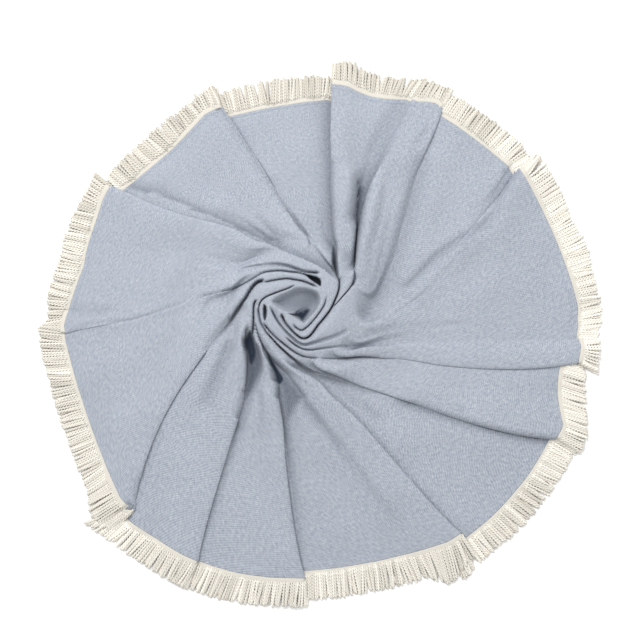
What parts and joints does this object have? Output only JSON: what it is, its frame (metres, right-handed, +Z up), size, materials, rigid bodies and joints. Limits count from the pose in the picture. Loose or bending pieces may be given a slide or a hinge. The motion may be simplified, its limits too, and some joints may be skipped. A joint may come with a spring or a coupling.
{
  "type": "round beach towel",
  "caption": "Round woven beach towel lying flat, twisted at its middle into a swirl of folds that run out to the edge, with a cord fringe sewn all round.",
  "frame": {"origin": "on the floor, under the centre of the towel's bounding box", "axes": "+Z up from the floor, +X to the right and +Y to the top as seen from above in the picture"},
  "size_m": [1.2514, 1.1962, 0.0484],
  "materials": {
    "cloth": "matte woven cotton",
    "fringe": "matte twisted cotton cord"
  },
  "bodies": {
    "root": {"cloth": "cloth", "fringe": "fringe"}
  },
  "joints": []
}
